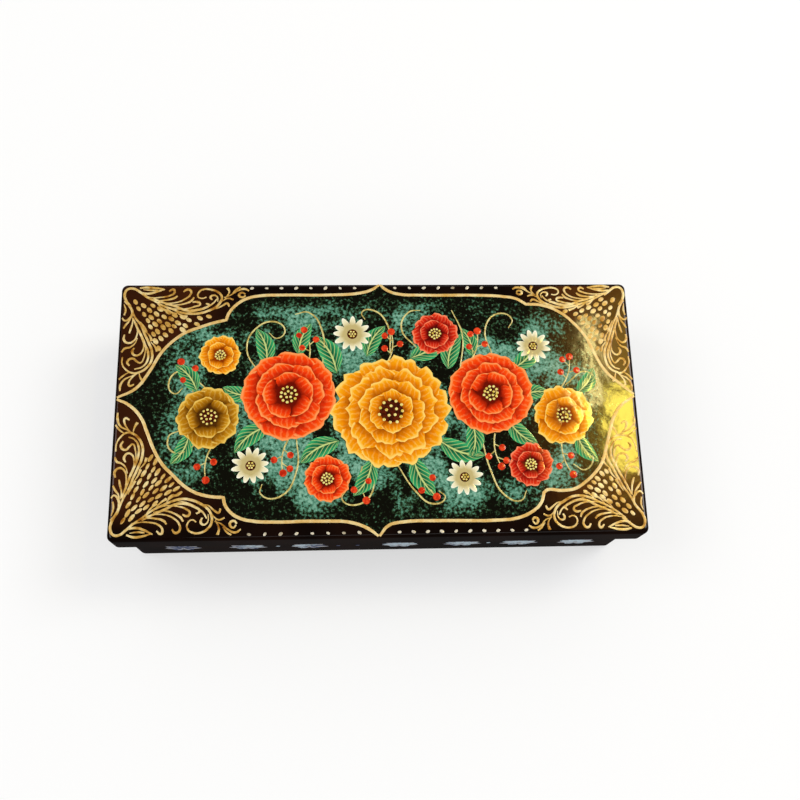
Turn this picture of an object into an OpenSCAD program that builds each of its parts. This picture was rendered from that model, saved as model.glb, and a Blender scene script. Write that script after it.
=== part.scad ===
// Lacquered papier-mache box: a wound wall frame on a bottom panel, a collar inside it,
// and a lid of panel and frame that swings on a brass barrel hinge let into the back.
// Origin: centre of the footprint at the bottom face. +X along the box, -Y the front, +Z up.

/* [Lid] */
// Length of the lid, side to side
lid_w = 130; // [110:1:180]
// Depth of the lid, front to back
lid_d = 66; // [54:1:100]
// Thickness of the lid's top panel
lid_panel_t = 4.5; // [4:0.1:7]
// Height of the frame glued under the lid panel
lid_frame_h = 3.5; // [3:0.1:5]
// Radius of the lid's upright corners
lid_corner_r = 1.6; // [1.3:0.1:4]
// Rounding along the lid's top edge
lid_edge_r = 1.1; // [0.4:0.1:1.3]
// How far the lid stands out past the body at the front and sides
overhang = 2; // [0.5:0.1:4]

/* [Body] */
// Height of the side walls
wall_h = 19; // [14:0.5:40]
// Thickness of the side walls
wall_t = 4.5; // [4.2:0.1:7]
// Thickness of the bottom panel
bottom_t = 3; // [2:0.1:5]
// Radius of the body's upright corners
body_corner_r = 2; // [1:0.1:4]
// Thickness of the collar inside the walls
collar_t = 1.6; // [1:0.1:3]
// How far the collar stands up past the walls
collar_rise = 2.4; // [1.5:0.1:2.6]

/* [Hinge] */
// Length of the hinge barrel
hinge_len = 48; // [30:1:80]
// Number of knuckles, an odd count so that the outer two are the body's
knuckle_count = 7; // [5:2:11]
// Radius of the hinge barrel
barrel_r = 1.1; // [0.9:0.05:1.2]
// Radius of the hinge pin
pin_r = 0.5; // [0.3:0.05:0.6]
// Distance from the back face in to the hinge pin
axis_inset = 1.8; // [1.6:0.05:2.1]
// Thickness of the brass leaves
leaf_t = 0.6; // [0.4:0.05:0.8]
// Reach of the body's leaf below the pin
body_leaf_reach = 7; // [6:0.1:10]
// Reach of the lid's leaf above the pin
lid_leaf_reach = 6; // [5.6:0.1:6.8]
// How far the lid opens, in degrees
open_angle = 98; // [90:1:105]
// Number of nails through each leaf
nail_count = 4; // [2:1:6]
// Radius of the nail shanks
nail_r = 0.4; // [0.3:0.05:0.5]
// Radius of the nail heads, filed flush with the back
nail_head_r = 0.7; // [0.5:0.05:0.8]
// Length of the nails
nail_len = 3.4; // [3:0.1:3.8]
// Height of the nails above and below the pin
nail_offset = 4.4; // [3.8:0.1:4.6]

/* [Hidden] */
$fn = 64;

black_lacquer = "#1c120c";
red_lacquer = "#8f1d12";
brass = "#b8913f";
steel = "#9a9a98";

glue_gap = 0.05;      // line of glue between the collar and the walls
collar_gap = 0.4;     // running gap between the collar and the lid frame
barrel_gap = 0.2;     // gap between the barrel and the channel it turns in
knuckle_gap = 0.2;    // gap between two neighbouring knuckles
bore_gap = 0.05;      // running gap between the pin and its bore
slot_gap = 0.05;      // gap on each side of a leaf in its slot
nail_gap = 0.02;      // gap round a nail in its hole
stop_angle = 1;       // play left between the two bevels when the lid is fully open
nail_head_t = 0.4;    // thickness of a nail head
hull_fn = 32;
reach = 1;            // how far a cutting shape runs past the face it opens

body_w = lid_w - 2 * overhang;
body_d = lid_d - overhang;
back_y = lid_d / 2;                    // back face of the body and the lid alike
body_y = back_y - body_d / 2;          // the body's own middle, behind the lid's by half the overhang
rim_z = bottom_t + wall_h;             // where the lid and the body part
panel_z = rim_z + lid_frame_h;         // underside of the lid panel
axis_y = back_y - axis_inset;
bevel_angle = (open_angle + stop_angle) / 2;
bevel_rise = (axis_inset + reach) * tan(bevel_angle);
cavity_r = max(body_corner_r - wall_t, 0) + collar_t + 0.4;
channel_r = barrel_r + barrel_gap;
leaf_len = hinge_len;
knuckle_pitch = hinge_len / knuckle_count;
nail_pitch = leaf_len / nail_count;

// A rectangle with round corners, centred.
module rounded_rect(w, d, r) {
    square([w - 2 * r, d], center = true);
    square([w, d - 2 * r], center = true);
    for (x = [-1, 1], y = [-1, 1])
        translate([x * (w / 2 - r), y * (d / 2 - r)]) circle(r);
}

// A ring of constant wall with round corners inside and out, standing on z = 0.
module ring(w, d, h, wall, r_out, r_in) {
    difference() {
        linear_extrude(h) rounded_rect(w, d, r_out);
        translate([0, 0, -reach])
            linear_extrude(h + 2 * reach) rounded_rect(w - 2 * wall, d - 2 * wall, r_in);
    }
}

// A disc whose upper edge is rounded: one corner of the lid panel.
module soft_disc(r, t, edge_r) {
    rotate_extrude($fn = hull_fn) {
        square([r, t - edge_r]);
        square([r - edge_r, t]);
        intersection() {
            translate([r - edge_r, t - edge_r]) circle(edge_r, $fn = hull_fn);
            square([r, t]);
        }
    }
}

// The V along the back where lid and body part. The two faces meet when the lid is fully open.
// side is 1 for the lid's face and -1 for the body's.
module back_bevel(side) {
    translate([-lid_w / 2 - reach, axis_y, rim_z])
        rotate([90, 0, 90])
            linear_extrude(lid_w + 2 * reach)
                polygon([[0, 0], [axis_inset + reach, 0],
                         [axis_inset + reach, side * bevel_rise]]);
}

// A cylinder along X about the hinge axis, centred on x.
module along_axis(r, len, x = 0) {
    translate([x - len / 2, axis_y, rim_z]) rotate([0, 90, 0]) cylinder(h = len, r = r);
}

// What is cut from the walls or the lid frame for the barrel.
module barrel_channel() {
    along_axis(channel_r, hinge_len + 2 * knuckle_gap);
}

// The slot that a leaf sits in. side is 1 above the pin and -1 below it.
module leaf_slot(leaf_reach, side) {
    slot_w = leaf_t + 2 * slot_gap;
    slot_h = leaf_reach + slot_gap;
    translate([-leaf_len / 2 - knuckle_gap, axis_y - slot_w / 2, rim_z - (side < 0 ? slot_h : 0)])
        cube([leaf_len + 2 * knuckle_gap, slot_w, slot_h]);
}

// One nail, driven in from the back face, with its head flush.
module nail(x, z, gap = 0) {
    translate([x, back_y, z]) rotate([90, 0, 0]) {
        translate([0, 0, gap > 0 ? -reach : 0]) {
            cylinder(h = nail_len + gap + (gap > 0 ? reach : 0), r = nail_r + gap);
            cylinder(h = nail_head_t + gap + (gap > 0 ? reach : 0), r = nail_head_r + gap);
        }
    }
}

// The row of nails through one leaf.
module nails(side, gap = 0) {
    for (i = [0 : nail_count - 1])
        nail((i - (nail_count - 1) / 2) * nail_pitch, rim_z + side * nail_offset, gap);
}

// A hinge leaf: a plate in its slot, and a tab and knuckle at every second place along the pin.
// side is 1 for the lid's leaf and -1 for the body's; first is the first knuckle it carries.
module hinge_leaf(leaf_reach, side, first) {
    plate_start = channel_r + slot_gap;
    plate_h = leaf_reach - plate_start;
    difference() {
        union() {
            translate([-leaf_len / 2, axis_y - leaf_t / 2,
                       rim_z + (side > 0 ? plate_start : -leaf_reach)])
                cube([leaf_len, leaf_t, plate_h]);
            for (i = [first : 2 : knuckle_count - 1]) {
                x = (i - (knuckle_count - 1) / 2) * knuckle_pitch;
                along_axis(barrel_r, knuckle_pitch - knuckle_gap, x);
                translate([x - (knuckle_pitch - knuckle_gap) / 2, axis_y - leaf_t / 2,
                           rim_z - (side < 0 ? plate_start + leaf_t : 0)])
                    cube([knuckle_pitch - knuckle_gap, leaf_t, plate_start + leaf_t]);
            }
        }
        along_axis(pin_r + bore_gap, hinge_len + reach);
        nails(side, nail_gap);
    }
}

module bottom_panel() {
    color(black_lacquer)
        translate([0, body_y, 0])
            linear_extrude(bottom_t) rounded_rect(body_w, body_d, body_corner_r);
}

module wall_frame() {
    color(black_lacquer)
        difference() {
            translate([0, body_y, bottom_t])
                ring(body_w, body_d, wall_h, wall_t, body_corner_r, cavity_r);
            back_bevel(-1);
            barrel_channel();
            leaf_slot(body_leaf_reach, -1);
            nails(-1, nail_gap);
        }
}

module inner_collar() {
    inset = wall_t + glue_gap;
    color(red_lacquer)
        translate([0, body_y, bottom_t])
            ring(body_w - 2 * inset, body_d - 2 * inset, wall_h + collar_rise, collar_t,
                 cavity_r - glue_gap, cavity_r - collar_t);
}

module hinge_body_leaf() {
    color(brass) hinge_leaf(body_leaf_reach, -1, 0);
}

module hinge_body_nails() {
    color(brass) nails(-1);
}

module hinge_pin() {
    color(steel) along_axis(pin_r, hinge_len);
}

module lid_panel() {
    color(black_lacquer)
        difference() {
            hull()
                for (x = [-1, 1], y = [-1, 1])
                    translate([x * (lid_w / 2 - lid_corner_r), y * (lid_d / 2 - lid_corner_r), panel_z])
                        soft_disc(lid_corner_r, lid_panel_t, lid_edge_r);
            leaf_slot(lid_leaf_reach, 1);
            nails(1, nail_gap);
        }
}

module lid_frame() {
    opening_w = body_w - 2 * (wall_t - collar_gap);
    opening_d = body_d - 2 * (wall_t - collar_gap);
    color(black_lacquer)
        difference() {
            translate([0, 0, rim_z])
                linear_extrude(lid_frame_h) rounded_rect(lid_w, lid_d, lid_corner_r);
            translate([0, body_y, rim_z - reach])
                linear_extrude(lid_frame_h + 2 * reach)
                    rounded_rect(opening_w, opening_d, cavity_r);
            back_bevel(1);
            barrel_channel();
            leaf_slot(lid_leaf_reach, 1);
        }
}

module hinge_lid_leaf() {
    color(brass) hinge_leaf(lid_leaf_reach, 1, 1);
}

module hinge_lid_nails() {
    color(brass) nails(1);
}

bottom_panel();
wall_frame();
inner_collar();
hinge_body_leaf();
hinge_body_nails();
hinge_pin();
lid_panel();
lid_frame();
hinge_lid_leaf();
hinge_lid_nails();
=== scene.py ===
import functools
import math
import random
from collections import namedtuple

import bmesh
import bpy
from bpy.props import FloatProperty, FloatVectorProperty, PointerProperty
from mathutils import Matrix, Vector


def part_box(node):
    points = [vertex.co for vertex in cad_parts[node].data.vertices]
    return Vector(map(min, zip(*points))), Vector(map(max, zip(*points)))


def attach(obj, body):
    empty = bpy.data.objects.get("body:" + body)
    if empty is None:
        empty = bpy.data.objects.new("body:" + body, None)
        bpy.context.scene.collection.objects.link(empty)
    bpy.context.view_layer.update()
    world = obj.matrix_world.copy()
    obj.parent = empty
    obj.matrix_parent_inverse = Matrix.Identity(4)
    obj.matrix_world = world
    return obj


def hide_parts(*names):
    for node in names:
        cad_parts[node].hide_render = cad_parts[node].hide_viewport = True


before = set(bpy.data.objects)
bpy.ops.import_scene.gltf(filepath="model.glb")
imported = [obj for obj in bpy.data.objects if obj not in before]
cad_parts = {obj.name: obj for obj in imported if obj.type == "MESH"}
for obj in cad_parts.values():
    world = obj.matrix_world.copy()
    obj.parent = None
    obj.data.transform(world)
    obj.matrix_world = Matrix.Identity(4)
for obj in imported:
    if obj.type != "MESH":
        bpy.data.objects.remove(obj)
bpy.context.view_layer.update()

bl_info = {
    "name": "Lacquer Box",
    "version": (1, 0, 0),
    "blender": (4, 5, 0),
    "location": "View3D > Sidebar > Lacquer Box",
    "description": "Builds the finish of a lacquered papier-mache box round its packed frame",
    "category": "Object",
}

MM = 0.001

# Corners of the CAD nodes' boxes, in metres
lid_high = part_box("lid_panel")[1]
frame_low, frame_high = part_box("lid_frame")
wall_low, wall_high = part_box("wall_frame")
collar_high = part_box("inner_collar")[1]

# Heights in metres, and half the lid's length and depth in millimetres
TOP_Z = lid_high.z
RIM_Z = wall_high.z
HALF_W = lid_high.x / MM
HALF_D = lid_high.y / MM


def linear(hex_text):
    """An sRGB hex colour as linear red, green and blue."""
    channels = [int(hex_text[i:i + 2], 16) / 255 for i in (1, 3, 5)]
    return tuple(c / 12.92 if c <= 0.04045 else ((c + 0.055) / 1.055) ** 2.4 for c in channels)


def hue(name, text, hex_text):
    """A colour setting whose default is that sRGB hex value."""
    return FloatVectorProperty(name=name, description=text, subtype="COLOR", size=3,
                               min=0, max=1, default=linear(hex_text))


def mm_size(name, text, value):
    """A length setting. The strokes are too fine for the scene's own units, so it holds millimetres."""
    return FloatProperty(name=name, description=text + ", in millimetres", default=value, min=0, precision=3)


def portion(name, text, value):
    """A setting from 0 to 1."""
    return FloatProperty(name=name, description=text, subtype="FACTOR", default=value, min=0, max=1)


def angle(name, text, degrees):
    """An angle setting, from a value in degrees."""
    return FloatProperty(name=name, description=text, subtype="ANGLE", default=math.radians(degrees))


# Settings

class LacquerSettings(bpy.types.PropertyGroup):
    black: hue("Black", "Oil lacquer on the outside", "#0b0402")
    black_worn: hue("Black, thin", "Where the lacquer is thinner and browner", "#150804")
    dust: hue("Gold dust", "The brown haze that rubbed gold leaves between the scrolls", "#3c1b07")
    red: hue("Red", "Cinnabar lacquer on the inside", "#a82113")
    red_deep: hue("Red, deep", "Where the cinnabar lacquer is deeper", "#991d10")
    ripple: mm_size("Ripple", "Width of the soft waves left by brushing", 5.0)
    edge_round: mm_size("Edge", "Rounding of the rims", 0.3)
    bottom_round: mm_size("Bottom edge", "Rounding of the lowest edge", 0.5)
    rubbed: portion("Rubbed gloss", "Share of clear gloss on the sides", 0.035)
    inner: portion("Inner gloss", "Share of clear gloss on the red inside", 0.6)


class HingeSettings(bpy.types.PropertyGroup):
    brass: hue("Brass", "The brass of the leaves and nails", "#c09a4e")
    brass_stain: hue("Brass, stained", "Where a brown tarnish lies", "#7d5a26")
    brass_worn: hue("Brass, worn", "Where handling keeps the brass bright", "#dcbc6e")
    steel: hue("Steel", "The wire of the pin", "#b4b4b6")
    steel_mark: hue("Steel, marked", "The darker marks left by drawing the wire", "#77777a")


class GoldSettings(bpy.types.PropertyGroup):
    light: hue("Light gold", "Where the gold lies thick", "#f5dfa2")
    mid: hue("Gold", "The gold powder itself", "#d8ac58")
    dark: hue("Dark gold", "Where the gold lies thin over the lacquer", "#a0661c")
    line: hue("Line gold", "The paler gold of the line round the picture", "#e9c37c")
    dot: hue("Dot gold", "The near-white gold of the dots by the edges", "#e2d9c2")
    dot_thin: hue("Dot gold, thin", "Where the dots lie thin", "#a5977a")
    stem_width: mm_size("Stem", "Width of the main stems of the scrolls", 0.64)
    curl_width: mm_size("Curl", "Width of the lesser curls where they are fattest", 0.725)
    line_width: mm_size("Line", "Width of the line round the picture", 0.85)
    grain_width: mm_size("Grain width", "Width of a grain between the stems", 0.84)
    grain_length: mm_size("Grain length", "Length of a grain between the stems", 1.95)
    grain_pitch: mm_size("Grain pitch", "Distance between the rows of grains", 2.0)
    dot_size: mm_size("Dot", "Length of a dot in the rows by the edges", 1.05)
    rise: mm_size("Rise", "How far the paint stands above the lacquer", 0.028)


class PictureSettings(bpy.types.PropertyGroup):
    ground: hue("Ground", "Near-black ground of the picture", "#0c0c05")
    moss: hue("Moss", "The darker sponged green", "#2c4228")
    teal: hue("Teal", "The sponged blue-green", "#50876f")
    foam: hue("Foam", "The palest grains of the sponging", "#86b69e")
    patch: mm_size("Patch", "Width of the sponged patches", 13.0)
    grain: mm_size("Grain", "Width of the sponge's grains", 0.72)
    rise: mm_size("Rise", "How far the picture's ground stands above the lacquer", 0.012)


# The sprays' silver blue and deep blue are partly painted reflection: the sky's blue mirrored in them is
# painted into their colours
class BandSettings(bpy.types.PropertyGroup):
    silver_sheen: hue("Silver blue", "The pale strokes round the walls", "#aabcc8")
    silver_sheen_thin: hue("Silver blue, thin", "Where the silver lies thin", "#1e3058")
    glow: hue("Deep blue", "The thin blue under the pale strokes", "#0c1850")
    blue_sheen_thin: hue("Deep blue, thin", "Where the blue lies thinnest", "#04071a")
    pitch: mm_size("Pitch", "Distance between the sprays on the ends and the back", 16.0)
    height: mm_size("Height", "Height of the sprays above the floor", 8.0)
    size: FloatProperty(name="Size", description="Size of a spray beside the drawn one",
                        default=0.82, min=0)


class StageSettings(bpy.types.PropertyGroup):
    lens: FloatProperty(name="Lens", description="Focal length on a 36 mm sensor", default=45.9,
                        unit="CAMERA")
    elevation: angle("Elevation", "Camera above the horizon", 72.03)
    turn: angle("Turn", "Camera round the box", -10.83)
    roll: angle("Roll", "Camera about its own axis", 9.815)
    reach: mm_size("Distance", "From the aimed point to the camera", 254.07)
    aim_x: FloatProperty(name="Aim X", description="Aimed point on the lid, in millimetres", default=5.161)
    aim_y: FloatProperty(name="Aim Y", description="Aimed point on the lid, in millimetres", default=1.392)
    key: FloatProperty(name="Key", description="Power of the main soft box", unit="POWER", default=6.0)
    glow: FloatProperty(name="Glow", description="Power of the warm lamps that the lid's right end mirrors",
                        unit="POWER", default=0.29)
    veil: FloatProperty(name="Veil", description="Strength of the warm haze mirrored round those lamps",
                        default=4.4)
    white: portion("White floor", "Share of plain white in the floor that the camera sees", 0.5)
    floor: hue("Floor", "Matt white card under the box", "#fafafa")


SETTINGS = {
    "lacquer": LacquerSettings,
    "hinge": HingeSettings,
    "gold": GoldSettings,
    "picture": PictureSettings,
    "band": BandSettings,
    "stage": StageSettings,
}


def settings(name):
    """The settings of one part of the finish, as they stand in the scene."""
    return getattr(bpy.context.scene, "box_" + name)


# Nodes

def fill(node, sockets):
    """Sets or links a node's sockets, by name or number, or in order. Another node stands for its
    first output in use."""
    if not isinstance(sockets, dict):
        sockets = dict(enumerate(sockets))
    for socket, value in sockets.items():
        if isinstance(value, bpy.types.Node):
            value = next(output for output in value.outputs if output.enabled)
        if isinstance(value, bpy.types.NodeSocket):
            node.id_data.links.new(value, node.inputs[socket])
        else:
            node.inputs[socket].default_value = value


def add_node(tree, kind, sockets=(), stops=(), **attributes):
    """One node: its own attributes, its sockets set or linked, and a ramp's stops."""
    node = tree.nodes.new("ShaderNode" + kind)
    for name, value in attributes.items():
        setattr(node, name, value)
    fill(node, sockets)
    if stops:
        ramp = node.color_ramp.elements
        while len(ramp) < len(stops):
            ramp.new(0.5)
        for element, (position, colour) in zip(ramp, stops):
            element.position = position
            element.color = (*colour, 1)
    return node


def new_material(name):
    """A material with its Principled shader, and the function that adds a node to it."""
    material = bpy.data.materials.new(name)
    material.use_nodes = True
    tree = material.node_tree
    return material, tree.nodes["Principled BSDF"], functools.partial(add_node, tree)


def per_metre(width_mm):
    """The scale at which a noise has features about that wide."""
    return 1 / (width_mm * MM)


# Materials. Widths of their patterns, in millimetres

CLOUD = 14.0  # patches of thinner lacquer
WIPE = 1.1  # rubbing marks, drawn coarse enough to show
BRUSH_LOAD = 2.6  # how far a load of gold goes before it thins
SILVER_LOAD = 1.8
SILVER_FADE = 19.0  # sprays that are thinner than their neighbours
POWDER = 0.12  # metal powder, drawn several times too coarse so that it shows
TEMPERA_CLOUD = 1.3
LEAF_CLOUD = 1.2
DAB_CLOUD = 0.9
HATCH_WARP = 0.8
STAIN = 1.6
SCRATCH = 0.15  # file marks, drawn coarser than they are
WIRE_MARK = 0.2  # die marks, drawn coarser too

# Where the lid's gold dust sets in: out from the middle along x and back from the front along y,
# each from none to full, and how strong it is
DUST_OUT = (36 * MM, 48 * MM)
DUST_IN = (-31 * MM, -22 * MM)
DUST_LOAD = 1.6

# Half length and depth of the oval in which the sponging thins out
SPONGED = (57.0 * MM, 29.5 * MM)

PETAL_HATCHES = 7
LEAF_VEINS = 7


def clear_coat(add, shader, weight):
    """The clear lacquer over everything: a hand-polished gloss whose soft waves, left by the brush,
    bend the reflections. It runs on over the edges of the paint."""
    place = add("TexCoord").outputs["Object"]
    wave = add("TexNoise", {"Vector": place, "Scale": per_metre(settings("lacquer").ripple),
                            "Detail": 3.0, "Roughness": 0.4})
    bump = add("Bump", {"Height": wave, "Strength": 0.5, "Distance": 0.07 * MM})
    fill(shader, {"Coat Normal": bump, "Coat Weight": weight, "Coat Roughness": 0.06, "Coat IOR": 1.5,
                  "Specular IOR Level": 0.0})


def dusted(add, tone, cloud, dust):
    """The tone with gold dust in clouds over it at the lid's two ends, clear of the front edge."""
    spot = add("SeparateXYZ", (add("TexCoord").outputs["Object"],)).outputs
    out = add("Math", (spot["X"],), operation="ABSOLUTE")
    out = add("MapRange", (out, *DUST_OUT, 0.0, 1.0))
    back = add("MapRange", (spot["Y"], *DUST_IN, 0.0, 1.0))
    share = add("Math", (out, back), operation="MULTIPLY")
    share = add("Math", (share, cloud), operation="MULTIPLY")
    share = add("Math", (share, DUST_LOAD), operation="MULTIPLY", use_clamp=True)
    return add("Mix", {0: share, 6: tone, 7: (*dust, 1)}, data_type="RGBA")


def lacquer_material(name, colour, deep, polish, dust=None):
    """Oil lacquer over papier-mache, brushed on in many coats, baked and polished by hand: a deep
    colour under a clear gloss, wetter the more it is polished. Dust browns it at the lid's ends."""
    material, shader, add = new_material(name)
    place = add("TexCoord").outputs["Object"]
    cloud = add("TexNoise", {"Vector": place, "Scale": per_metre(CLOUD)})
    tone = add("ValToRGB", (cloud,), stops=[(0.38, deep), (0.62, colour)])
    if dust:
        tone = dusted(add, tone, cloud, dust)
    wipe = add("TexNoise", {"Vector": place, "Scale": per_metre(WIPE), "Detail": 4.0, "Roughness": 0.65})
    fill(shader, {"Base Color": tone, "Roughness": add("MapRange", (wipe, 0.3, 0.7, 0.3, 0.46))})
    clear_coat(add, shader, polish)
    return material


def gold_material(name, light, mid, dark, rise):
    """Powdered gold in gum, laid on with a fine brush and polished: grainy and half metallic,
    thick and pale in one place, thin and brown where the lacquer shows through in another."""
    material, shader, add = new_material(name)
    place = add("TexCoord").outputs["Object"]
    load = add("TexNoise", {"Vector": place, "Scale": per_metre(BRUSH_LOAD), "Detail": 3.0,
                            "Roughness": 0.6})
    tone = add("ValToRGB", (load,), stops=[(0.3, dark), (0.46, mid), (0.66, light)])
    powder = add("TexNoise", {"Vector": place, "Scale": per_metre(POWDER)})
    bump = add("Bump", {"Height": powder, "Strength": 0.35, "Distance": 0.3 * rise * MM})
    fill(shader, {"Base Color": tone, "Normal": bump, "Metallic": 0.22, "Roughness": 0.42})
    clear_coat(add, shader, 0.6)
    return material


def silver_sheen_material(name, light, dark):
    """Powdered aluminium in gum with a little blue: half metallic, and thin and dark where the brush ran
    out, by strokes and by whole sprays. Its pale blue is partly a painted reflection of the sky."""
    material, shader, add = new_material(name)
    place = add("TexCoord").outputs["Object"]
    load = add("TexNoise", {"Vector": place, "Scale": per_metre(SILVER_LOAD), "Detail": 3.0,
                            "Roughness": 0.6})
    fade = add("TexNoise", {"Vector": place, "Scale": per_metre(SILVER_FADE), "Detail": 1.0})
    both = add("Math", (fade, 2.4, load), operation="MULTIPLY_ADD")
    both = add("Math", (both, 1.2), operation="SUBTRACT")
    tone = add("ValToRGB", (both,), stops=[(0.34, dark), (0.62, light)])
    fill(shader, {"Base Color": tone, "Metallic": 0.2, "Roughness": 0.45})
    clear_coat(add, shader, 0.15)
    return material


def tempera(add, shader, tone):
    """Gives the shader the tone as matt egg tempera, under the full clear lacquer."""
    fill(shader, {"Base Color": tone, "Roughness": 0.5})
    clear_coat(add, shader, 1.0)


def ground_material(name, cfg):
    """Egg tempera dabbed on with a sponge over black: blue-green grains that crowd into patches and
    thin out to black by the gold line."""
    material, shader, add = new_material(name)
    place = add("TexCoord").outputs["Object"]
    patch = add("TexNoise", {"Vector": place, "Scale": per_metre(cfg.patch), "Roughness": 0.55})
    crowd = add("MapRange", (patch, 0.4, 0.57, 0.0, 1.0))
    spot = add("SeparateXYZ", (place,)).outputs
    shares = []
    for axis, half in zip("XY", SPONGED):
        far = add("Math", (spot[axis], half), operation="DIVIDE")
        shares.append(add("Math", (far, 4.0), operation="POWER"))
    rim = add("Math", shares, operation="ADD")
    fade = add("MapRange", (rim, 0.45, 0.95, 1.0, 0.0))
    crowd = add("Math", (crowd, fade), operation="MULTIPLY")
    grain = add("TexNoise", {"Vector": place, "Scale": per_metre(cfg.grain), "Roughness": 0.6})
    push = add("Math", (crowd, 0.34, -0.13), operation="MULTIPLY_ADD")
    dab = add("Math", (grain, push), operation="ADD")
    tone = add("ValToRGB", (dab,), stops=[(0.44, cfg.ground), (0.54, cfg.moss), (0.66, cfg.teal),
                                          (0.86, cfg.foam)])
    fill(shader, {"Normal": add("Bump", {"Height": dab, "Strength": 0.3, "Distance": 0.02 * MM})})
    tempera(add, shader, tone)
    return material


def stripes(add, along, count, start, full, strength):
    """Fine drawn lines across a run from 0 to 1."""
    wave = add("Math", (along, count * 2 * math.pi), operation="MULTIPLY")
    wave = add("Math", (wave,), operation="SINE")
    return add("MapRange", (wave, start, full, 0.0, strength))


def petal_material(name, dark, mid, light, tip):
    """Egg tempera laid on in layers from dark at a petal's foot to light at its lip, and drawn over
    with fine pale hatching and a pale edge."""
    material, shader, add = new_material(name)
    coords = add("TexCoord").outputs
    spot = add("SeparateXYZ", (coords["UV"],)).outputs
    cloud = add("TexNoise", {"Vector": coords["Object"], "Scale": per_metre(TEMPERA_CLOUD)})
    along = add("Math", (cloud, 0.3, spot["Y"]), operation="MULTIPLY_ADD")
    along = add("Math", (along, 0.15), operation="SUBTRACT")
    layers = add("ValToRGB", (along,), stops=[(0.34, dark), (0.68, mid), (0.95, light)])
    warp = add("TexNoise", {"Vector": coords["Object"], "Scale": per_metre(HATCH_WARP), "Detail": 1.0})
    across = add("Math", (warp, 0.12, spot["X"]), operation="MULTIPLY_ADD")
    hatch = stripes(add, across, PETAL_HATCHES, 0.35, 0.8, 1.0)
    near_tip = add("MapRange", (along, 0.5, 0.9, 0.0, 0.4))
    hatch = add("Math", (hatch, near_tip), operation="MULTIPLY")
    side = add("Math", (spot["X"], 2.0, -1.0), operation="MULTIPLY_ADD")
    side = add("Math", (side,), operation="ABSOLUTE")
    upper = add("MapRange", (spot["Y"], 0.35, 0.6, -0.3, 0.0))
    side = add("Math", (side, upper), operation="ADD")
    rim = add("Math", (side, spot["Y"]), operation="MAXIMUM")
    lip = add("MapRange", (rim, 0.87, 0.95, 0.0, 0.85))
    pale = add("Math", (hatch, lip), operation="MAXIMUM")
    tempera(add, shader, add("Mix", {0: pale, 6: layers, 7: (*tip, 1)}, data_type="RGBA"))
    return material


def leaf_material(name, dark, mid, light, vein):
    """Green tempera: dark along the middle, lighter to the edge, with a pale rib and drawn veins."""
    material, shader, add = new_material(name)
    coords = add("TexCoord").outputs
    spot = add("SeparateXYZ", (coords["UV"],)).outputs
    off = add("Math", (spot["X"], 0.5), operation="SUBTRACT")
    off = add("Math", (off,), operation="ABSOLUTE")
    cloud = add("TexNoise", {"Vector": coords["Object"], "Scale": per_metre(LEAF_CLOUD)})
    edge = add("Math", (cloud, 0.25, off), operation="MULTIPLY_ADD")
    layers = add("ValToRGB", (edge,), stops=[(0.12, dark), (0.36, mid), (0.6, light)])
    slant = add("Math", (off, -0.7, spot["Y"]), operation="MULTIPLY_ADD")
    veins = stripes(add, slant, LEAF_VEINS, 0.7, 0.95, 0.65)
    rib = add("MapRange", (off, 0.03, 0.055, 0.9, 0.0))
    pale = add("Math", (veins, rib), operation="MAXIMUM")
    tempera(add, shader, add("Mix", {0: pale, 6: layers, 7: (*vein, 1)}, data_type="RGBA"))
    return material


def dab_material(name, colour, deep):
    """A dab of one tempera colour, a little uneven from the brush."""
    material, shader, add = new_material(name)
    place = add("TexCoord").outputs["Object"]
    cloud = add("TexNoise", {"Vector": place, "Scale": per_metre(DAB_CLOUD)})
    tempera(add, shader, add("ValToRGB", (cloud,), stops=[(0.36, deep), (0.6, colour)]))
    return material


def brass_material(name, cfg):
    """Rolled brass, filed and handled: a warm metal, dulled in patches by a thin brown tarnish."""
    material, shader, add = new_material(name)
    place = add("TexCoord").outputs["Object"]
    stain = add("TexNoise", {"Vector": place, "Scale": per_metre(STAIN), "Detail": 4.0, "Roughness": 0.6})
    tone = add("ValToRGB", (stain,), stops=[(0.32, cfg.brass_stain), (0.5, cfg.brass),
                                            (0.7, cfg.brass_worn)])
    scratch = add("TexNoise", {"Vector": place, "Scale": per_metre(SCRATCH)})
    bump = add("Bump", {"Height": scratch, "Strength": 0.3, "Distance": 0.01 * MM})
    fill(shader, {"Base Color": tone, "Normal": bump, "Metallic": 1.0,
                  "Roughness": add("MapRange", (stain, 0.3, 0.7, 0.45, 0.25))})
    return material


def steel_material(name, cfg):
    """Drawn steel wire: grey and fairly bright, with darker marks."""
    material, shader, add = new_material(name)
    place = add("TexCoord").outputs["Object"]
    marks = add("TexNoise", {"Vector": place, "Scale": per_metre(WIRE_MARK), "Detail": 3.0})
    tone = add("ValToRGB", (marks,), stops=[(0.3, cfg.steel_mark), (0.7, cfg.steel)])
    fill(shader, {"Base Color": tone, "Metallic": 1.0, "Roughness": 0.3})
    return material


# Meshes

# Edges that turn further than this are sharp
SHARP = math.radians(35)

# Points of a surface nearer than this are one, in metres
WELD = 1e-6

# How far a stroke ends under the face that it lies on, as a share of its rise
SINK = 0.2


def keep(bm, name, materials, body, slot):
    """Makes the piece from a finished bmesh and hangs it on its body."""
    mesh = bpy.data.meshes.new(name)
    bm.to_mesh(mesh)
    bm.free()
    for material in materials:
        mesh.materials.append(material)
    mesh.polygons.foreach_set("use_smooth", [True] * len(mesh.polygons))
    mesh.set_sharp_from_angle(angle=SHARP)
    piece = bpy.data.objects.new(name, mesh)
    bpy.context.scene.collection.objects.link(piece)
    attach(piece, body)
    return piece


def keep_on_lid(bm, name, material, slot):
    """Makes a piece of paint that was drawn on z = 0, laid on the lid's face."""
    bmesh.ops.translate(bm, verts=bm.verts, vec=(0, 0, TOP_Z))
    keep(bm, name, [material], "lid", slot)


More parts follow.
